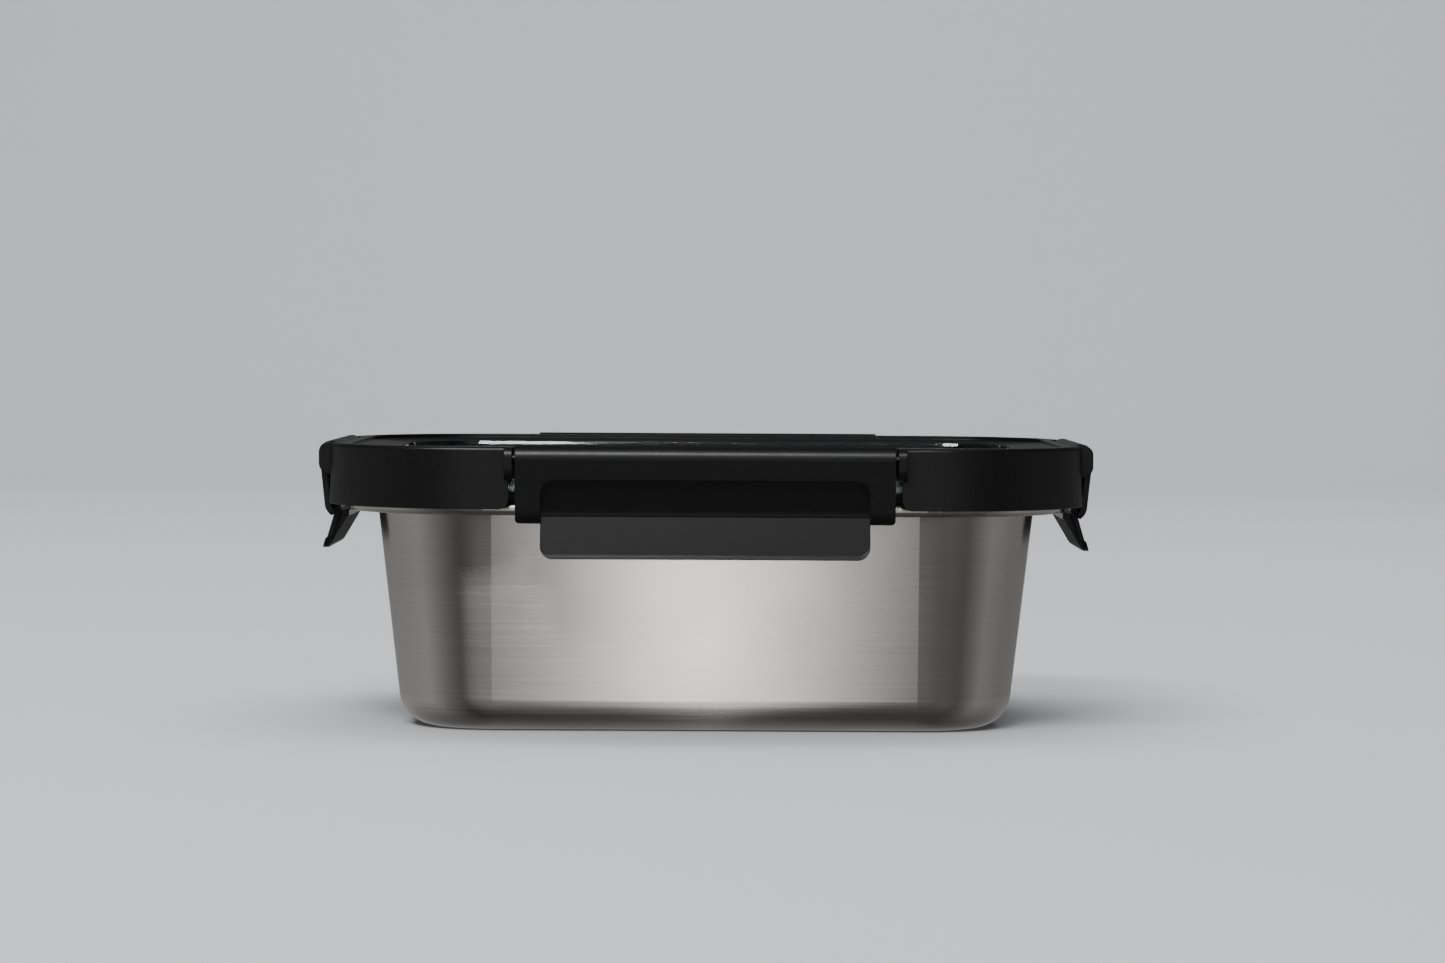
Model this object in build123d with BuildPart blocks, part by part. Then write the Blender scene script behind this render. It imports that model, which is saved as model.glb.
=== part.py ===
from build123d import *
import os
from math import cos, radians, sin, tan

os.makedirs("parts", exist_ok=True)

# A rectangular food box: a deep-drawn steel tub with a rolled rim, and a black
# lid with a clear window that four snap latches hold down on a silicone seal.
# Millimetres. The origin is the bottom centre, X runs along the box, the front
# faces -Y and +Z is up. Half sizes are measured from the two middle planes.

# Steel tub
tub_base_half_x = 77.3  # outer faces, where the tapered walls would meet the floor
tub_base_half_y = 50.3
wall_taper = 6.6  # degrees from upright
tub_wall = 0.6
tub_corner_base = 24.0  # grows with the taper to about 31 at the rim
tub_floor_radius = 9.0
rim_top = 58.1
rim_half_x = 91.6  # outer edge of the rolled bead
rim_half_y = 64.6
rim_corner = 36.6
bead_size = 3.2
bead_round = 1.55

# Black lid frame
lid_top = 71.9
skirt_bottom = 56.6
skirt_half_x = 96.0
skirt_half_y = 69.0
skirt_corner = 40.0
skirt_draft = 1.9  # degrees, the skirt leans in towards the lid top
skirt_wall = 1.8
lid_edge_round = 0.9
ledge_step = 0.84  # from the raised rim of the lid down to the ledge inside it
ledge_width = 9.65
ledge_slope = 4.8  # degrees, the ledge dips towards the window
frame_at_window = 1.55  # thickness where the ledge ends
notch_beside_latch = 1.65  # at each end of a latch
notch_depth = 3.4  # inside the pivot line
notch_corner = 2.6

# Clear insert: window with a sunk pane, plate under the frame, seal flange and plug
window_half_x = 80.2
window_half_y = 51.7
window_corner = 17.7
window_gap = 0.3
window_border = 0.9
pane_drop = 1.3  # from the top of the window's border to the pane
pane_chamfer = 0.75  # height of the slanting top of the step down to the pane
pane_chamfer_slope = 25.0  # degrees from upright
insert_half_x = 88.0
insert_half_y = 61.0
insert_corner = 33.0
insert_plate = 1.6
insert_wall = 2.0
flange_half_x = 92.6
flange_half_y = 65.6
flange_corner = 37.6
flange_bottom = 60.8
flange_thickness = 2.2
plug_half_x = 80.3
plug_half_y = 53.3
plug_corner = 26.4
plug_bottom = 54.8

# Silicone seal, a flat ring with two lips that press on the rim
seal_half_x = 89.6
seal_half_y = 62.6
seal_corner = 34.6
seal_width = 5.4
seal_body = 1.8
seal_lip = 1.2
seal_rest_gap = 0.05

# Latches. A section is drawn from the pivot: x outward from the box, y up.
pivot_height = 69.2
pivot_half_x = 95.6
pivot_half_y = 68.6
latch_length_long = 93.5
latch_length_short = 58.0
barrel_radius = 3.1
latch_lean = 6.0  # degrees, the outer face leans in towards its foot
latch_plate = 1.6
plate_straight = 12.95
plate_curl_radius = 4.0
plate_curl_angle = 50.0
plate_foot = -16.1
plate_corner = 1.0
recess_top = -5.3
recess_top_out = 1.3
recess_corner = 4.1
tongue_inset = 6.15  # from the end of the plate to the side of the tongue
tongue_waist = -14.2
tongue_waist_out = -0.6
tongue_waist_round = 6.0
tongue_tip = -24.7
tongue_tip_out = 3.0
tongue_wall = 1.5
tongue_corner = 3.2
cheek_thickness = 1.3  # side walls that join the tongue to the plate
cheek_top_depth = 2.0  # across the section, at the head and the foot of a cheek
cheek_foot_depth = 2.6
cheek_foot_drop = 0.3
head_overlap = 1.0  # parts of a latch that run into its barrel do so by this much
lip_height = 0.9
lip_depth = 0.45
hook_top = -15.1
hook_thickness = 1.4
hook_nose = -3.7
gusset_thickness = 1.2
gusset_nose_gap = 0.2  # the gussets stop short of the hook's nose and the tongue's tip
gusset_tip_gap = 0.3
gusset_overlap = 0.6  # into the tongue
gusset_pitch = 6.4

# Ears of the lid frame that hold the hinge pins
ear_gap = 0.7
ear_thickness = 2.0
ear_out = 3.0
ear_foot = -5.4
ear_foot_round = 2.9
ear_top_round = 2.4
pin_radius = 1.0
pin_chamfer = 0.2
pin_in_ear = 1.5
latch_running_fit = 0.06
ear_running_fit = 0.02

UP = Vector(0, 0, 1)
taper_per_mm = tan(radians(wall_taper))
ledge_top = lid_top - ledge_step
window_top = ledge_top - ledge_width * tan(radians(ledge_slope))
web_bottom = window_top - frame_at_window
flange_top = flange_bottom + flange_thickness

# Each latch: side, outward direction, distance of its pivot line, length
latches = [
    ("front", Vector(0, -1, 0), pivot_half_y, latch_length_long),
    ("rear", Vector(0, 1, 0), pivot_half_y, latch_length_long),
    ("left", Vector(-1, 0, 0), pivot_half_x, latch_length_short),
    ("right", Vector(1, 0, 0), pivot_half_x, latch_length_short),
]


def section_plane(outward, distance, along=0.0):
    """Plane across a latch: x outward, y up, its normal along the latch."""
    normal = outward.cross(UP)
    origin = outward * distance + UP * pivot_height + normal * along
    return Plane(origin=origin, x_dir=outward, z_dir=normal)


def face_plane(outward, distance):
    """Plane that faces out of a latch: x along the latch, y up."""
    origin = outward * distance + UP * pivot_height
    return Plane(origin=origin, x_dir=UP.cross(outward), z_dir=outward)


def rounded_slab(half_x, half_y, corner, bottom, top, mode=Mode.ADD):
    """A level slab with rounded corners between two heights."""
    with BuildSketch(Plane.XY.offset(bottom)) as outline:
        RectangleRounded(2 * half_x, 2 * half_y, corner)
    extrude(outline.sketch, amount=top - bottom, mode=mode)


# The tub: one drawn sheet, so floor, wall, flat rim and rolled bead are one solid
def tapered_body(bottom, inset):
    """The space inside one skin of the tub, from a height up to the rim."""
    grow = bottom * taper_per_mm - inset
    half_x, half_y = tub_base_half_x + grow, tub_base_half_y + grow
    with BuildPart() as body:
        with BuildSketch(Plane.XY.offset(bottom)):
            RectangleRounded(2 * half_x, 2 * half_y, tub_corner_base + grow)
        extrude(amount=rim_top - bottom, taper=-wall_taper)
        fillet(body.faces().sort_by(Axis.Z)[0].edges(), tub_floor_radius - inset)
    return body.part


def bead_ring():
    """The rolled edge of the rim."""
    with BuildPart() as bead:
        for edge, mode in ((0, Mode.ADD), (bead_size, Mode.SUBTRACT)):
            half_x, half_y = rim_half_x - edge, rim_half_y - edge
            rounded_slab(half_x, half_y, rim_corner - edge, rim_top - bead_size, rim_top, mode)
        levels = bead.edges().group_by(Axis.Z)
        fillet(levels[0] + levels[-1], bead_round)
    return bead.part


outer_body = tapered_body(0.0, 0.0)
inner_body = tapered_body(tub_wall, tub_wall)
bead = bead_ring()

with BuildPart() as steel_tub:
    add(outer_body)
    flat = bead_size / 2
    flat_half_x, flat_half_y = rim_half_x - flat, rim_half_y - flat
    rounded_slab(flat_half_x, flat_half_y, rim_corner - flat, rim_top - tub_wall, rim_top)
    add(bead)
    add(inner_body, mode=Mode.SUBTRACT)
steel_tub.part.label = "steel_tub"
export_step(steel_tub.part, "parts/steel_tub.step")


# The lid frame: skirt, top web with the window opening, latch notches and pin ears
def latch_notch(outward, distance, length):
    """Cut the skirt and the edge of the top away behind one latch."""
    half = length / 2 + notch_beside_latch
    with BuildSketch(section_plane(outward, distance)) as cut:
        with Locations((-notch_depth, lid_top - pivot_height)):
            Rectangle(3 * notch_depth, 2 * (lid_top - skirt_bottom), align=(Align.MIN, Align.MAX))
    extrude(cut.sketch, amount=half, both=True, mode=Mode.SUBTRACT)


def notch_foot_edges(lid, outward, length):
    """The two edges where a notch meets the foot of the skirt."""
    half = length / 2 + notch_beside_latch
    along = outward.cross(UP)
    return lid.edges().filter_by(
        lambda e: abs(e.center().Z - skirt_bottom) < 0.01
        and abs(abs(e.center().dot(along)) - half) < 0.01
        and e.center().dot(outward) > 0
        and e.length < 2 * skirt_wall
    )


def pin_ears(outward, distance, length):
    """Two ears beside a latch, each with a blind hole for the hinge pin."""
    ear_width = notch_depth + ear_out
    ear_height = lid_top - pivot_height - ear_foot
    for side in (-1, 1):
        inner_face = side * (length / 2 + ear_gap)
        with BuildSketch(section_plane(outward, distance, inner_face)) as ear:
            with Locations((-notch_depth, ear_foot)):
                Rectangle(ear_width, ear_height, align=(Align.MIN, Align.MIN))
            fillet(ear.vertices().group_by(Axis.Y)[0].sort_by(Axis.X)[-1], ear_foot_round)
            fillet(ear.vertices().group_by(Axis.Y)[-1].sort_by(Axis.X)[-1], ear_top_round)
        extrude(ear.sketch, amount=side * ear_thickness)
        with BuildSketch(section_plane(outward, distance, inner_face)) as bore:
            Circle(pin_radius + ear_running_fit)
        bore_depth = side * (pin_in_ear + ear_running_fit)
        extrude(bore.sketch, amount=bore_depth, mode=Mode.SUBTRACT)


with BuildPart() as lid_frame:
    with BuildSketch(Plane.XY.offset(skirt_bottom)):
        RectangleRounded(2 * skirt_half_x, 2 * skirt_half_y, skirt_corner)
    extrude(amount=lid_top - skirt_bottom, taper=skirt_draft)
    fillet(lid_frame.faces().sort_by(Axis.Z)[-1].edges(), lid_edge_round)
    rounded_slab(
        skirt_half_x - skirt_wall,
        skirt_half_y - skirt_wall,
        skirt_corner - skirt_wall,
        skirt_bottom,
        web_bottom,
        Mode.SUBTRACT,
    )
    with BuildSketch(Plane.XY.offset(window_top)):
        opening = (2 * (window_half_x + window_gap), 2 * (window_half_y + window_gap))
        RectangleRounded(*opening, window_corner + window_gap)
    extrude(amount=ledge_top - window_top, taper=ledge_slope - 90, mode=Mode.SUBTRACT)
    for edge, bottom, top in ((0, web_bottom, window_top), (ledge_width, ledge_top, lid_top)):
        rounded_slab(
            window_half_x + window_gap + edge,
            window_half_y + window_gap + edge,
            window_corner + window_gap + edge,
            bottom,
            top,
            Mode.SUBTRACT,
        )
    for side, outward, distance, length in latches:
        latch_notch(outward, distance, length)
        fillet(notch_foot_edges(lid_frame, outward, length), notch_corner)
    for side, outward, distance, length in latches:
        pin_ears(outward, distance, length)
lid_frame.part.label = "lid_frame"
export_step(lid_frame.part, "parts/lid_frame.step")


# The clear insert
with BuildPart() as lid_window:
    rounded_slab(window_half_x, window_half_y, window_corner, web_bottom, window_top)
    rounded_slab(insert_half_x, insert_half_y, insert_corner, flange_bottom, web_bottom)
    rounded_slab(flange_half_x, flange_half_y, flange_corner, flange_bottom, flange_top)
    rounded_slab(plug_half_x, plug_half_y, plug_corner, plug_bottom, flange_bottom)
    rounded_slab(
        insert_half_x - insert_wall,
        insert_half_y - insert_wall,
        insert_corner - insert_wall,
        flange_top,
        web_bottom - insert_plate,
        Mode.SUBTRACT,
    )
    rounded_slab(
        plug_half_x - insert_wall,
        plug_half_y - insert_wall,
        plug_corner - insert_wall,
        plug_bottom,
        flange_top,
        Mode.SUBTRACT,
    )
    chamfer_foot = window_top - pane_chamfer
    pane_edge = window_border + pane_chamfer * tan(radians(pane_chamfer_slope))
    pane_half_x = window_half_x - pane_edge
    pane_half_y = window_half_y - pane_edge
    pane_corner = window_corner - pane_edge
    pane_top = window_top - pane_drop
    rounded_slab(pane_half_x, pane_half_y, pane_corner, pane_top, chamfer_foot, Mode.SUBTRACT)
    with BuildSketch(Plane.XY.offset(chamfer_foot)):
        RectangleRounded(2 * pane_half_x, 2 * pane_half_y, pane_corner)
    extrude(amount=pane_chamfer, taper=-pane_chamfer_slope, mode=Mode.SUBTRACT)
lid_window.part.label = "lid_window"
export_step(lid_window.part, "parts/lid_window.step")


# The silicone seal
def seal_ring(inset, width, bottom, top):
    """A rounded ring whose outer edge is inset from the seal's own."""
    for edge, mode in ((inset, Mode.ADD), (inset + width, Mode.SUBTRACT)):
        half_x, half_y = seal_half_x - edge, seal_half_y - edge
        rounded_slab(half_x, half_y, seal_corner - edge, bottom, top, mode)


with BuildPart() as lid_gasket:
    seal_foot = flange_bottom - seal_body
    lip_foot = rim_top + seal_rest_gap
    seal_ring(0, seal_lip, lip_foot, seal_foot)
    seal_ring(seal_width - seal_lip, seal_lip, lip_foot, seal_foot)
    seal_ring(0, seal_width, seal_foot, flange_bottom)
lid_gasket.part.label = "lid_gasket"
export_step(lid_gasket.part, "parts/lid_gasket.step")


# The four latches
def latch_plate_section(outward, distance):
    """Outer plate of a latch: a straight leaning face that curls in at its foot."""
    lean = radians(latch_lean)
    out = Vector(cos(lean), -sin(lean))
    down = Vector(-sin(lean), -cos(lean))
    shoulder = out * barrel_radius
    bend = shoulder + down * plate_straight
    inner_radius = plate_curl_radius - latch_plate
    with BuildSketch(section_plane(outward, distance)) as section:
        with BuildLine():
            outer_face = Line(shoulder, bend)
            outer_curl = JernArc(bend, down, plate_curl_radius, -plate_curl_angle)
            inner_face = Line(shoulder - out * latch_plate, bend - out * latch_plate)
            inner_curl = JernArc(inner_face @ 1, down, inner_radius, -plate_curl_angle)
            Line(outer_curl @ 1, inner_curl @ 1)
            Line(outer_face @ 0, inner_face @ 0)
        make_face()
    return section.sketch


def tongue_solid(outward, distance, half):
    """Wall behind the recess that flares out below the plate into the finger tongue."""
    lip_foot = tongue_tip + lip_height
    flare = (tongue_tip_out - tongue_waist_out) / (tongue_tip - tongue_waist)
    lip_face = tongue_tip_out + flare * lip_height
    pocket = lip_pocket(outward, distance, half, lip_foot, lip_face)
    with BuildPart() as tongue:
        with BuildSketch(section_plane(outward, distance)):
            with BuildLine():
                outer = FilletPolyline(
                    (recess_top_out, recess_top + head_overlap),
                    (tongue_waist_out, tongue_waist),
                    (tongue_tip_out, tongue_tip),
                    radius=tongue_waist_round,
                )
                inner = FilletPolyline(
                    (recess_top_out - tongue_wall, recess_top + head_overlap),
                    (tongue_waist_out - tongue_wall, tongue_waist),
                    (tongue_tip_out - tongue_wall, tongue_tip),
                    radius=tongue_waist_round + tongue_wall,
                )
                Line(outer @ 0, inner @ 0)
                Line(outer @ 1, inner @ 1)
            make_face()
        extrude(amount=half, both=True)
        with BuildSketch(face_plane(outward, distance)) as outline:
            with Locations((0, tongue_tip)):
                Rectangle(2 * half, -tongue_tip, align=(Align.CENTER, Align.MIN))
            fillet(outline.vertices().sort_by(Axis.Y)[:2], tongue_corner)
        extrude(amount=4 * tongue_tip_out, both=True, mode=Mode.INTERSECT)
        add(pocket, mode=Mode.SUBTRACT)
    return tongue.part


def lip_pocket(outward, distance, half, lip_foot, lip_face):
    """Shallow wedge cut from the tongue's face, which leaves a lip along its tip."""
    proud = 2 * tongue_tip_out
    with BuildPart() as pocket:
        with BuildSketch(section_plane(outward, distance)):
            with BuildLine():
                Polyline(
                    (tongue_waist_out, tongue_waist),
                    (lip_face - lip_depth, lip_foot),
                    (proud, lip_foot),
                    (proud, tongue_waist),
                    close=True,
                )
            make_face()
        extrude(amount=half + lip_depth, both=True)
        with BuildSketch(face_plane(outward, distance)) as outline:
            with Locations((0, lip_foot)):
                Rectangle(2 * (half + lip_depth), -lip_foot, align=(Align.CENTER, Align.MIN))
            fillet(outline.vertices().sort_by(Axis.Y)[:2], tongue_corner + lip_depth)
        extrude(amount=4 * proud, both=True, mode=Mode.INTERSECT)
    return pocket.part


def latch_solid(outward, distance, length):
    """One latch: barrel, plate with its recess, tongue, hook and gussets."""
    half = length / 2
    tongue_half = half - tongue_inset
    tongue = tongue_solid(outward, distance, tongue_half)
    cheek_head = recess_top_out - tongue_wall + cheek_top_depth
    cheek_foot = tongue_waist_out - tongue_wall + cheek_foot_depth
    gusset_foot = tongue_tip + gusset_tip_gap
    gusset_foot_out = tongue_tip_out - tongue_wall - gusset_tip_gap
    with BuildPart() as latch:
        extrude(latch_plate_section(outward, distance), amount=half, both=True)
        with BuildSketch(face_plane(outward, distance)) as outline:
            with Locations((0, plate_foot)):
                Rectangle(length, head_overlap - plate_foot, align=(Align.CENTER, Align.MIN))
            fillet(outline.vertices().sort_by(Axis.Y)[:2], plate_corner)
        extrude(amount=2 * barrel_radius, both=True, mode=Mode.INTERSECT)
        with BuildSketch(face_plane(outward, distance)) as recess:
            with Locations((0, recess_top)):
                Rectangle(2 * tongue_half, -plate_foot, align=(Align.CENTER, Align.MAX))
            fillet(recess.vertices().sort_by(Axis.Y)[-2:], recess_corner)
        extrude(amount=2 * barrel_radius, both=True, mode=Mode.SUBTRACT)
        with BuildSketch(section_plane(outward, distance)):
            Circle(barrel_radius)
        extrude(amount=half, both=True)
        add(tongue)
        for end in (-1, 1):
            with BuildSketch(section_plane(outward, distance, end * tongue_half)):
                with BuildLine():
                    Polyline(
                        (cheek_head, recess_top + head_overlap),
                        (cheek_foot, tongue_waist),
                        (tongue_waist_out - tongue_wall, tongue_waist - cheek_foot_drop),
                        (recess_top_out - tongue_wall, recess_top + head_overlap),
                        close=True,
                    )
                make_face()
            extrude(amount=end * cheek_thickness)
        with BuildSketch(section_plane(outward, distance)):
            with Locations((hook_nose, hook_top)):
                hook_reach = tongue_waist_out - hook_nose
                Rectangle(hook_reach, hook_thickness, align=(Align.MIN, Align.MAX))
        extrude(amount=tongue_half - tongue_corner, both=True)
        gussets = int((tongue_half - tongue_corner) // gusset_pitch)
        for step in range(-gussets, gussets + 1):
            with BuildSketch(section_plane(outward, distance, step * gusset_pitch)):
                with BuildLine():
                    Polyline(
                        (hook_nose + gusset_nose_gap, hook_top - hook_thickness),
                        (tongue_waist_out - gusset_overlap, hook_top - hook_thickness),
                        (gusset_foot_out + gusset_overlap, gusset_foot + gusset_overlap),
                        (gusset_foot_out, gusset_foot),
                        close=True,
                    )
                make_face()
            extrude(amount=gusset_thickness / 2, both=True)
        with BuildSketch(section_plane(outward, distance)):
            Circle(pin_radius + latch_running_fit)
        extrude(amount=half, both=True, mode=Mode.SUBTRACT)
    return latch.part


def pin_solid(outward, distance, length):
    """Hinge pin of one latch, from ear to ear."""
    with BuildPart() as pin:
        with BuildSketch(section_plane(outward, distance)):
            Circle(pin_radius)
        extrude(amount=length / 2 + ear_gap + pin_in_ear, both=True)
        chamfer(pin.edges().filter_by(GeomType.CIRCLE), pin_chamfer)
    return pin.part


for side, outward, distance, length in latches:
    latch = latch_solid(outward, distance, length)
    latch.label = f"latch_{side}"
    export_step(latch, f"parts/{latch.label}.step")
    pin = pin_solid(outward, distance, length)
    pin.label = f"hinge_pin_{side}"
    export_step(pin, f"parts/{pin.label}.step")
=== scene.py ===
import math

import bmesh
import bpy
from mathutils import Euler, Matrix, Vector


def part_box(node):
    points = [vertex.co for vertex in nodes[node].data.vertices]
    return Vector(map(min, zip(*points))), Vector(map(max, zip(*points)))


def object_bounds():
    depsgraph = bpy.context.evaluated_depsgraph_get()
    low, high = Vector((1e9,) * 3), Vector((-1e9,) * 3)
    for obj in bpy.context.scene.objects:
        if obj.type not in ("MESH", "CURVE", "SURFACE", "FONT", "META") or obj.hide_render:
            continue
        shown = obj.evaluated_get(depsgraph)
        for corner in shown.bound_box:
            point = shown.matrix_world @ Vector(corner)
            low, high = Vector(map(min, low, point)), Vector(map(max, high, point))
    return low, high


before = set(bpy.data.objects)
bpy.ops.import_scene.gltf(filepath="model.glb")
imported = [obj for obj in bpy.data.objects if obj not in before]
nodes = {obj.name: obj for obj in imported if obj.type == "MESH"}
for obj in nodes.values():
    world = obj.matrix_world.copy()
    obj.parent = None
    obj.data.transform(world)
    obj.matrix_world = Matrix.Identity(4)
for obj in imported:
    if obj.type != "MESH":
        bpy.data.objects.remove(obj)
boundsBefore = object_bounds()
mm = 0.001


# Small helpers
def hexColour(code):
    channels = [int(code[i:i + 2], 16) / 255 for i in (1, 3, 5)]
    linear = [c / 12.92 if c <= 0.04045 else ((c + 0.055) / 1.055) ** 2.4 for c in channels]
    return (*linear, 1.0)  # sRGB to linear


def addNode(tree, kind, inputs=None, stops=None, **settings):
    node = tree.nodes.new(kind)
    for name, value in settings.items():
        setattr(node, name, value)
    if stops:
        ramp = node.color_ramp
        while len(ramp.elements) < len(stops):
            ramp.elements.new(1.0)
        for element, (position, colour) in zip(ramp.elements, stops):
            element.position = position
            element.color = colour
    for socket, value in (inputs or {}).items():
        if isinstance(value, bpy.types.NodeSocket):
            tree.links.new(value, node.inputs[socket])
        else:
            node.inputs[socket].default_value = value
    return node


def grey(level):
    return (level, level, level, 1.0)


def newMaterial(name):
    material = bpy.data.materials.new(name)
    material.use_nodes = True
    material.node_tree.nodes.clear()
    return material, material.node_tree


def finishMaterial(tree, surface):
    addNode(tree, "ShaderNodeOutputMaterial", {"Surface": surface})


# Camera, level with the lid and square to the long side
cameraView = {
    "lens": 103.9,
    "distance": 1.021,  # from the front latch
    "height": 0.1000,
    "side": 0.0042,
    "pitch": 2.03,  # degrees down
    "roll": 0.3,
}


def makeCamera():
    data = bpy.data.cameras.new("camera")
    data.lens = cameraView["lens"]
    camera = bpy.data.objects.new("camera", data)
    front = boundsBefore[0].y
    camera.location = (cameraView["side"], front - cameraView["distance"], cameraView["height"])
    turn = Euler((math.radians(90 - cameraView["pitch"]), 0, 0)).to_matrix()
    roll = Euler((0, 0, math.radians(cameraView["roll"]))).to_matrix()
    camera.rotation_euler = (turn @ roll).to_euler()
    bpy.context.scene.collection.objects.link(camera)
    bpy.context.scene.camera = camera


makeCamera()
print("camera done")


# Pale paper sweep that the box stands on
sweep = {
    "front": -2.5,
    "bendStart": 1.6,
    "bendRadius": 1.2,
    "bendSteps": 24,
    "halfWidth": 3.0,
    "height": 2.6,
    "colour": "#C9CACD",
    "grain": 900,  # per metre, the fibres of the paper
    "grainTone": 0.985,
}


def makeSweep():
    profile = [(sweep["front"], 0.0), (sweep["bendStart"], 0.0)]
    for step in range(1, sweep["bendSteps"] + 1):
        angle = math.pi / 2 * step / sweep["bendSteps"]
        y = sweep["bendStart"] + sweep["bendRadius"] * math.sin(angle)
        profile.append((y, sweep["bendRadius"] * (1 - math.cos(angle))))
    profile.append((profile[-1][0], sweep["height"]))
    mesh = bmesh.new()
    rows = []
    for y, z in profile:
        rows.append([mesh.verts.new((side * sweep["halfWidth"], y, z)) for side in (-1, 1)])
    for low, high in zip(rows, rows[1:]):
        face = mesh.faces.new((low[0], low[1], high[1], high[0]))
        face.smooth = True
    data = bpy.data.meshes.new("paper_sweep")
    mesh.to_mesh(data)
    mesh.free()
    paper = bpy.data.objects.new("paper_sweep", data)
    bpy.context.scene.collection.objects.link(paper)
    material, tree = newMaterial("Matt studio paper")
    place = addNode(tree, "ShaderNodeTexCoord")
    fibres = addNode(tree, "ShaderNodeTexNoise", {
        "Vector": place.outputs["Object"],
        "Scale": sweep["grain"],
        "Detail": 3.0,
    })
    tint = addNode(tree, "ShaderNodeValToRGB", {"Fac": fibres.outputs["Fac"]}, [
        (0.3, tuple(c * sweep["grainTone"] for c in hexColour(sweep["colour"])[:3]) + (1.0,)),
        (0.7, hexColour(sweep["colour"])),
    ])
    skin = addNode(tree, "ShaderNodeBsdfPrincipled", {
        "Base Color": tint.outputs["Color"],
        "Roughness": 0.9,
        "Specular IOR Level": 0.1,
    })
    finishMaterial(tree, skin.outputs["BSDF"])
    data.materials.append(material)
    paper.visible_glossy = False  # the steel mirrors the studio, not the paper at its foot
    paper.visible_shadow = False  # nor does it shade what reaches the steel from below


makeSweep()
print("sweep done")


# Studio: soft boxes, and a room that the steel mirrors
studio = {
    "keyPower": 13.0,
    "keySize": (0.80, 0.22),
    "keyPlace": (-0.34, -0.84, 1.02),
    "keyAim": (0.0, 0.0, 0.05),
    "skyPower": 53.0,
    "skySize": (3.2, 3.2),
    "skyPlace": (0.0, 0.2, 2.3),
    "skyAim": (0.0, 0.2, 0.0),
    "wallPower": 45.0,
    "wallSize": (3.0, 1.2),
    "wallPlace": (0.0, 0.4, 2.3),
    "wallAim": (0.0, 2.8, 0.6),
    "cardPower": 0.46,  # low card that puts the bright middle on the steel's long side
    "cardSize": (0.17, 0.12),
    "cardDistance": 0.30,
    "cardHeight": -0.035,
    "cardFade": 1.7,  # how fast the card dims towards its ends
}

# Glow of the room by turn: from behind on the left (0), past the camera (0.5), to behind on the right (1)
roomStops = [
    (0.000, grey(0.30)),
    (0.185, grey(0.48)),
    (0.270, grey(0.57)),  # side screen
    (0.340, grey(0.32)),
    (0.390, grey(0.17)),  # black flag
    (0.500, grey(0.17)),
    (0.600, grey(0.26)),
    (0.650, grey(0.20)),
    (0.690, grey(0.34)),
    (0.730, grey(0.50)),  # side screen
    (0.815, grey(0.36)),
    (1.000, grey(0.26)),
]

# How the sides change with height, from straight down (0) to straight up (1)
sideStops = [
    (0.00, grey(0.10)),
    (0.15, grey(0.22)),
    (0.32, grey(0.60)),
    (0.41, grey(1.00)),
    (0.46, grey(0.95)),
    (0.49, grey(0.30)),
    (0.52, grey(0.15)),
    (1.00, grey(0.10)),
]

# and the glow on the camera's side
frontStops = [
    (0.00, grey(0.05)),
    (0.32, grey(0.11)),
    (0.43, grey(0.14)),
    (0.49, grey(0.40)),
    (0.56, grey(0.52)),
    (0.68, grey(0.34)),
    (1.00, grey(0.20)),
]

# and behind the box: pale near the level of the eye, dim above
backStops = [
    (0.000, grey(0.20)),
    (0.470, grey(0.45)),
    (0.500, grey(0.50)),
    (0.530, grey(0.45)),
    (0.570, grey(0.06)),
    (0.800, grey(0.05)),
    (1.000, grey(0.10)),
]

# Turns, in degrees from the camera's side, where one part of the room gives way to the next
roomEdges = {
    "front": (10, 38),
    "back": (158, 172),
}


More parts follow.
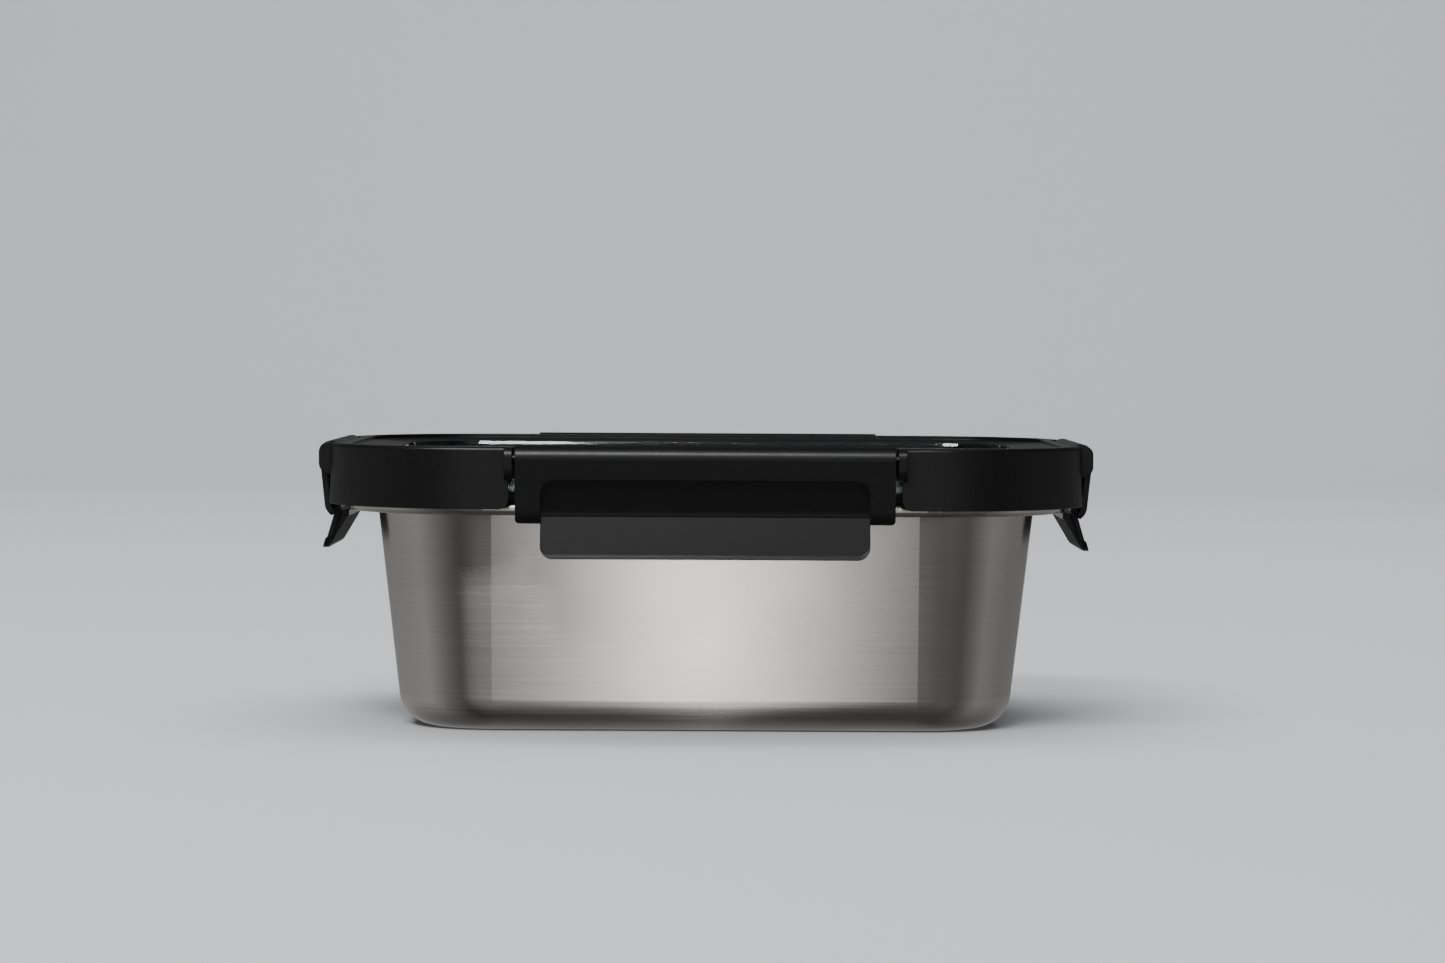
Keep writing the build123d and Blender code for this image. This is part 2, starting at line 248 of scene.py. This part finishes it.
def makeWorld():
    world = bpy.data.worlds.new("studio")
    bpy.context.scene.world = world
    world.use_nodes = True
    tree = world.node_tree
    tree.nodes.clear()
    place = addNode(tree, "ShaderNodeTexCoord")
    split = addNode(tree, "ShaderNodeSeparateXYZ", {"Vector": place.outputs["Generated"]})
    front = addNode(tree, "ShaderNodeMath", {0: split.outputs["Y"], 1: -1.0}, operation="MULTIPLY")
    angle = addNode(tree, "ShaderNodeMath", {
        0: split.outputs["X"],
        1: front.outputs[0],
    }, operation="ARCTAN2")
    around = addNode(tree, "ShaderNodeMapRange", {
        "Value": angle.outputs[0],
        "From Min": -math.pi,
        "From Max": math.pi,
    })
    up = addNode(tree, "ShaderNodeMath", {0: split.outputs["Z"]}, operation="ARCSINE")
    level = addNode(tree, "ShaderNodeMapRange", {
        "Value": up.outputs[0],
        "From Min": -math.pi / 2,
        "From Max": math.pi / 2,
    })
    room = addNode(tree, "ShaderNodeValToRGB", {"Fac": around.outputs[0]}, roomStops)
    side = addNode(tree, "ShaderNodeValToRGB", {"Fac": level.outputs[0]}, sideStops)
    ahead = addNode(tree, "ShaderNodeValToRGB", {"Fac": level.outputs[0]}, frontStops)
    behind = addNode(tree, "ShaderNodeValToRGB", {"Fac": level.outputs[0]}, backStops)
    screens = addNode(tree, "ShaderNodeVectorMath", {
        0: room.outputs["Color"],
        1: side.outputs["Color"],
    }, operation="MULTIPLY")
    turn = addNode(tree, "ShaderNodeMath", {0: angle.outputs[0]}, operation="ABSOLUTE")
    glow = ahead.outputs["Color"]
    for edge, colour in (("front", screens.outputs["Vector"]), ("back", behind.outputs["Color"])):
        start, end = roomEdges[edge]
        share = addNode(tree, "ShaderNodeMapRange", {
            "Value": turn.outputs[0],
            "From Min": math.radians(start),
            "From Max": math.radians(end),
        }, interpolation_type="SMOOTHSTEP")
        blend = addNode(tree, "ShaderNodeMix", {0: share.outputs[0], 6: glow, 7: colour}, data_type="RGBA")
        glow = blend.outputs[2]
    light = addNode(tree, "ShaderNodeBackground", {"Color": glow})
    addNode(tree, "ShaderNodeOutputWorld", {"Surface": light.outputs["Background"]})


def addSoftBox(name, place, aim, size, power):
    data = bpy.data.lights.new(name, "AREA")
    data.shape = "RECTANGLE"
    data.size, data.size_y = size
    data.energy = power
    lamp = bpy.data.objects.new(name, data)
    lamp.location = place
    lamp.rotation_euler = (Vector(aim) - Vector(place)).to_track_quat("-Z", "Y").to_euler()
    bpy.context.scene.collection.objects.link(lamp)
    return lamp


# The card lights the tub alone, so that the black plastic stays black
def addSteelCard():
    low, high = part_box("steel_tub")
    middle = (low[2] + high[2]) / 2
    place = (0.0, low[1] - studio["cardDistance"], studio["cardHeight"])
    aim = (0.0, low[1], middle)
    card = addSoftBox("steel_card", place, aim, studio["cardSize"], studio["cardPower"])
    card.data.use_nodes = True
    tree = card.data.node_tree
    tree.nodes.clear()
    spot = addNode(tree, "ShaderNodeNewGeometry")
    split = addNode(tree, "ShaderNodeSeparateXYZ", {"Vector": spot.outputs["Parametric"]})
    rise = addNode(tree, "ShaderNodeMapRange", {"Value": split.outputs["X"], "From Max": 0.5})
    fall = addNode(tree, "ShaderNodeMapRange", {
        "Value": split.outputs["X"],
        "From Min": 1.0,
        "From Max": 0.5,
    })
    peak = addNode(tree, "ShaderNodeMath", {0: rise.outputs[0], 1: fall.outputs[0]}, operation="MINIMUM")
    fade = addNode(tree, "ShaderNodeMath", {0: peak.outputs[0], 1: studio["cardFade"]}, operation="POWER")
    light = addNode(tree, "ShaderNodeEmission", {"Strength": fade.outputs[0]})
    addNode(tree, "ShaderNodeOutputLight", {"Surface": light.outputs["Emission"]})
    only = bpy.data.collections.new("steel_card_subject")
    only.objects.link(nodes["steel_tub"])
    card.light_linking.receiver_collection = only


def addLights():
    addSoftBox("key_soft_box", studio["keyPlace"], studio["keyAim"], studio["keySize"], studio["keyPower"])
    sky = addSoftBox(
        "sky_panel",
        studio["skyPlace"],
        studio["skyAim"],
        studio["skySize"],
        studio["skyPower"],
    )
    wall = addSoftBox(
        "backdrop_light",
        studio["wallPlace"],
        studio["wallAim"],
        studio["wallSize"],
        studio["wallPower"],
    )
    for lamp in (sky, wall):
        lamp.visible_glossy = False  # they light the paper, the room's glow gives the shine
    addSteelCard()


makeWorld()
addLights()
print("lights done")


# Brushed stainless steel
steelLook = {
    "colour": "#C6C3BF",
    "darker": "#B5B2AE",
    "roughness": 0.25,
    "roughnessRange": 0.02,
    "handling": 0.02,  # how far wiping and fingers change the roughness
    "handlingPerMetre": 18.0,
    "anisotropy": 1.0,
    "lineLength": 35 * mm,
    "linePitch": 0.35 * mm,  # drawn about three times coarser than the real grit lines
    "lineDepth": 0.004 * mm,
}


# Coordinates stretched along the brushing: round the walls, and along the box on level faces
def lineCoordinates(tree):
    place = addNode(tree, "ShaderNodeTexCoord")
    along, across = 1 / steelLook["lineLength"], 1 / steelLook["linePitch"]
    wall = addNode(tree, "ShaderNodeMapping", {
        "Vector": place.outputs["Object"],
        "Scale": (along, along, across),
    })
    flat = addNode(tree, "ShaderNodeMapping", {
        "Vector": place.outputs["Object"],
        "Scale": (along, across, along),
    })
    shape = addNode(tree, "ShaderNodeNewGeometry")
    upright = addNode(tree, "ShaderNodeSeparateXYZ", {"Vector": shape.outputs["Normal"]})
    slope = addNode(tree, "ShaderNodeMath", {0: upright.outputs["Z"]}, operation="ABSOLUTE")
    level = addNode(tree, "ShaderNodeMapRange", {
        "Value": slope.outputs[0],
        "From Min": 0.85,
        "From Max": 0.95,
    })
    return addNode(tree, "ShaderNodeMix", {
        "Factor": level.outputs[0],
        "A": wall.outputs["Vector"],
        "B": flat.outputs["Vector"],
    }, data_type="VECTOR")


# Shine drawn out across fine level lines: this is what tells the eye the sheet was belt-brushed
def makeBrushedSteel():
    material, tree = newMaterial("Stainless steel, fine horizontal brushing")
    lines = lineCoordinates(tree)
    lineVector = [s for s in lines.outputs if s.type == "VECTOR"][0]
    fine = addNode(tree, "ShaderNodeTexNoise", {
        "Vector": lineVector,
        "Scale": 1.0,
        "Detail": 4.0,
        "Roughness": 0.65,
    })
    place = addNode(tree, "ShaderNodeTexCoord")
    cloud = addNode(tree, "ShaderNodeTexNoise", {
        "Vector": place.outputs["Object"],
        "Scale": steelLook["handlingPerMetre"],
        "Detail": 2.0,
    })
    colour = addNode(tree, "ShaderNodeValToRGB", {"Fac": fine.outputs["Fac"]}, [
        (0.30, hexColour(steelLook["darker"])),
        (0.70, hexColour(steelLook["colour"])),
    ])
    gloss = addNode(tree, "ShaderNodeMapRange", {
        "Value": fine.outputs["Fac"],
        "From Min": 0.3,
        "From Max": 0.7,
        "To Min": steelLook["roughness"] - steelLook["roughnessRange"],
        "To Max": steelLook["roughness"] + steelLook["roughnessRange"],
    })
    handled = addNode(tree, "ShaderNodeMapRange", {
        "Value": cloud.outputs["Fac"],
        "From Min": 0.35,
        "From Max": 0.65,
        "To Min": -steelLook["handling"],
        "To Max": steelLook["handling"],
    })
    roughness = addNode(tree, "ShaderNodeMath", {
        0: gloss.outputs[0],
        1: handled.outputs[0],
    }, operation="ADD")
    relief = addNode(tree, "ShaderNodeBump", {
        "Height": fine.outputs["Fac"],
        "Strength": 1.0,
        "Distance": steelLook["lineDepth"],
    })
    grainWay = addNode(tree, "ShaderNodeTangent", direction_type="RADIAL", axis="Z")
    skin = addNode(tree, "ShaderNodeBsdfPrincipled", {
        "Base Color": colour.outputs["Color"],
        "Metallic": 1.0,
        "Roughness": roughness.outputs[0],
        "Anisotropic": steelLook["anisotropy"],
        "Anisotropic Rotation": 0.25,
        "Tangent": grainWay.outputs["Tangent"],
        "Normal": relief.outputs["Normal"],
    })
    finishMaterial(tree, skin.outputs["BSDF"])
    return material


# Black polypropylene
plasticLook = {
    "colour": "#080809",
    "speck": "#121214",
    "roughness": 0.36,
    "roughnessRange": 0.05,
    "polishedRoughness": 0.26,
    "polishedGrain": 0.05,  # share of the grain left where the mould was polished
    "ior": 1.49,
    "grainSize": 0.40 * mm,  # spark erosion grain, drawn a little coarse
    "grainDepth": 0.018 * mm,
    "edgeRadius": 0.35 * mm,
    "edgePolish": 0.12,  # how much smoother the rubbed edges are
}


# Fine spark grain with edges rubbed a little shinier: reads as a moulded, much handled lid
def makeTexturedPlastic(name, smoothMask=None):  # the mask is 1 where the mould was polished
    material, tree = newMaterial(name)
    place = addNode(tree, "ShaderNodeTexCoord")
    grain = addNode(tree, "ShaderNodeTexNoise", {
        "Vector": place.outputs["Object"],
        "Scale": 1 / plasticLook["grainSize"],
        "Detail": 3.0,
        "Roughness": 0.6,
    })
    colour = addNode(tree, "ShaderNodeValToRGB", {"Fac": grain.outputs["Fac"]}, [
        (0.35, hexColour(plasticLook["colour"])),
        (0.70, hexColour(plasticLook["speck"])),
    ])
    soft = addNode(tree, "ShaderNodeBevel", {"Radius": plasticLook["edgeRadius"]}, samples=4)
    shape = addNode(tree, "ShaderNodeNewGeometry")
    turn = addNode(tree, "ShaderNodeVectorMath", {
        0: soft.outputs["Normal"],
        1: shape.outputs["Normal"],
    }, operation="DOT_PRODUCT")
    rubbed = addNode(tree, "ShaderNodeMapRange", {
        "Value": turn.outputs["Value"],
        "From Min": 0.97,
        "From Max": 0.80,
        "To Max": plasticLook["edgePolish"],
    })
    mask = smoothMask(tree) if smoothMask else 0.0
    textured = addNode(tree, "ShaderNodeMath", {0: 1.0, 1: mask}, operation="SUBTRACT")
    depth = addNode(tree, "ShaderNodeMapRange", {
        "Value": textured.outputs[0],
        "To Min": plasticLook["polishedGrain"],
    })
    mottle = addNode(tree, "ShaderNodeMapRange", {
        "Value": grain.outputs["Fac"],
        "From Min": 0.3,
        "From Max": 0.7,
        "To Min": -plasticLook["roughnessRange"],
        "To Max": plasticLook["roughnessRange"],
    })
    uneven = addNode(tree, "ShaderNodeMath", {
        0: mottle.outputs[0],
        1: depth.outputs[0],
    }, operation="MULTIPLY")
    base = addNode(tree, "ShaderNodeMapRange", {
        "Value": textured.outputs[0],
        "To Min": plasticLook["polishedRoughness"],
        "To Max": plasticLook["roughness"],
    })
    worn = addNode(tree, "ShaderNodeMath", {
        0: base.outputs[0],
        1: rubbed.outputs[0],
    }, operation="SUBTRACT")
    roughness = addNode(tree, "ShaderNodeMath", {
        0: worn.outputs[0],
        1: uneven.outputs[0],
    }, operation="ADD")
    relief = addNode(tree, "ShaderNodeBump", {
        "Height": grain.outputs["Fac"],
        "Strength": depth.outputs[0],
        "Distance": plasticLook["grainDepth"],
        "Normal": soft.outputs["Normal"],
    })
    skin = addNode(tree, "ShaderNodeBsdfPrincipled", {
        "Base Color": colour.outputs["Color"],
        "Roughness": roughness.outputs[0],
        "IOR": plasticLook["ior"],
        "Normal": relief.outputs["Normal"],
    })
    finishMaterial(tree, skin.outputs["BSDF"])
    return material


# Where a latch is polished: its recess and finger tongue
latchLook = {
    "tongueInset": 6.15 * mm,
    "recessDrop": 8.4 * mm,  # below the top of the latch
}


def tongueMask(node, axis):
    low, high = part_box(node)
    index = "XYZ".index(axis)
    half = (high[index] - low[index]) / 2 - latchLook["tongueInset"]
    top = high[2]

    def build(tree):
        place = addNode(tree, "ShaderNodeTexCoord")
        split = addNode(tree, "ShaderNodeSeparateXYZ", {"Vector": place.outputs["Object"]})
        along = addNode(tree, "ShaderNodeMath", {0: split.outputs[axis]}, operation="ABSOLUTE")
        inside = addNode(tree, "ShaderNodeMath", {0: along.outputs[0], 1: half}, operation="LESS_THAN")
        below = addNode(tree, "ShaderNodeMath", {
            0: split.outputs["Z"],
            1: top - latchLook["recessDrop"],
        }, operation="LESS_THAN")
        mask = addNode(tree, "ShaderNodeMath", {
            0: inside.outputs[0],
            1: below.outputs[0],
        }, operation="MULTIPLY")
        return mask.outputs[0]

    return build


# Clear copolyester window
clearLook = {
    "colour": "#E9EEEE",
    "ior": 1.57,
    "roughness": 0.03,
    "scratchLength": 14 * mm,
    "scratchPitch": 0.5 * mm,
    "scratchTurn": 0.5,  # radians
    "scratchHaze": 0.04,
}


# Faint wiping marks on an almost perfect polish: tells clear plastic from glass
def makeClearPlastic():
    material, tree = newMaterial("Clear copolyester, polished with faint wiping marks")
    along, across = 1 / clearLook["scratchLength"], 1 / clearLook["scratchPitch"]
    place = addNode(tree, "ShaderNodeTexCoord")
    turned = addNode(tree, "ShaderNodeMapping", {
        "Vector": place.outputs["Object"],
        "Rotation": (0.0, 0.0, clearLook["scratchTurn"]),
        "Scale": (along, across, along),
    })
    wipes = addNode(tree, "ShaderNodeTexNoise", {
        "Vector": turned.outputs["Vector"],
        "Scale": 1.0,
        "Detail": 3.0,
    })
    gloss = addNode(tree, "ShaderNodeMapRange", {
        "Value": wipes.outputs["Fac"],
        "From Min": 0.55,
        "From Max": 0.75,
        "To Min": clearLook["roughness"],
        "To Max": clearLook["roughness"] + clearLook["scratchHaze"],
    })
    skin = addNode(tree, "ShaderNodeBsdfPrincipled", {
        "Base Color": hexColour(clearLook["colour"]),
        "Roughness": gloss.outputs[0],
        "IOR": clearLook["ior"],
        "Transmission Weight": 1.0,
    })
    finishMaterial(tree, skin.outputs["BSDF"])
    return material


# Silicone seal
sealLook = {
    "colour": "#2B2B2D",
    "dustColour": "#47474A",
    "roughness": 0.62,
    "ior": 1.41,
    "dust": 0.9 * mm,
    "dustDepth": 0.02 * mm,
}


# Matt with a little dust: silicone never looks wet or hard
def makeSilicone():
    material, tree = newMaterial("Silicone rubber, matt")
    place = addNode(tree, "ShaderNodeTexCoord")
    dust = addNode(tree, "ShaderNodeTexNoise", {
        "Vector": place.outputs["Object"],
        "Scale": 1 / sealLook["dust"],
        "Detail": 4.0,
    })
    colour = addNode(tree, "ShaderNodeValToRGB", {"Fac": dust.outputs["Fac"]}, [
        (0.4, hexColour(sealLook["colour"])),
        (0.8, hexColour(sealLook["dustColour"])),
    ])
    relief = addNode(tree, "ShaderNodeBump", {
        "Height": dust.outputs["Fac"],
        "Strength": 0.4,
        "Distance": sealLook["dustDepth"],
    })
    skin = addNode(tree, "ShaderNodeBsdfPrincipled", {
        "Base Color": colour.outputs["Color"],
        "Roughness": sealLook["roughness"],
        "IOR": sealLook["ior"],
        "Normal": relief.outputs["Normal"],
    })
    finishMaterial(tree, skin.outputs["BSDF"])
    return material


# Hinge pins
pinLook = {
    "colour": "#4A4A4C",
    "roughness": 0.38,
    "drawPitch": 0.08 * mm,
    "drawRange": (-0.06, 0.10),
}


# Dark oxide over fine drawing lines: reads as plain cut wire
def makePinSteel():
    material, tree = newMaterial("Steel wire, black oxide")
    place = addNode(tree, "ShaderNodeTexCoord")
    lines = addNode(tree, "ShaderNodeTexNoise", {
        "Vector": place.outputs["Object"],
        "Scale": 1 / pinLook["drawPitch"],
        "Detail": 2.0,
    })
    gloss = addNode(tree, "ShaderNodeMapRange", {
        "Value": lines.outputs["Fac"],
        "To Min": pinLook["roughness"] + pinLook["drawRange"][0],
        "To Max": pinLook["roughness"] + pinLook["drawRange"][1],
    })
    skin = addNode(tree, "ShaderNodeBsdfPrincipled", {
        "Base Color": hexColour(pinLook["colour"]),
        "Metallic": 1.0,
        "Roughness": gloss.outputs[0],
    })
    finishMaterial(tree, skin.outputs["BSDF"])
    return material


def dress(names, material):
    for name in names:
        data = nodes[name].data
        data.materials.clear()
        data.materials.append(material)


sides = ("front", "rear", "left", "right")
dress(["steel_tub"], makeBrushedSteel())
dress(["lid_frame"], makeTexturedPlastic("Black polypropylene, spark texture"))
dress(["lid_window"], makeClearPlastic())
dress(["lid_gasket"], makeSilicone())
dress([f"hinge_pin_{side}" for side in sides], makePinSteel())
for pair, axis in ((("front", "rear"), "X"), (("left", "right"), "Y")):
    mask = tongueMask(f"latch_{pair[0]}", axis)
    plastic = makeTexturedPlastic(f"Black polypropylene, polished tongue, along {axis}", mask)
    dress([f"latch_{side}" for side in pair], plastic)
print("materials done")
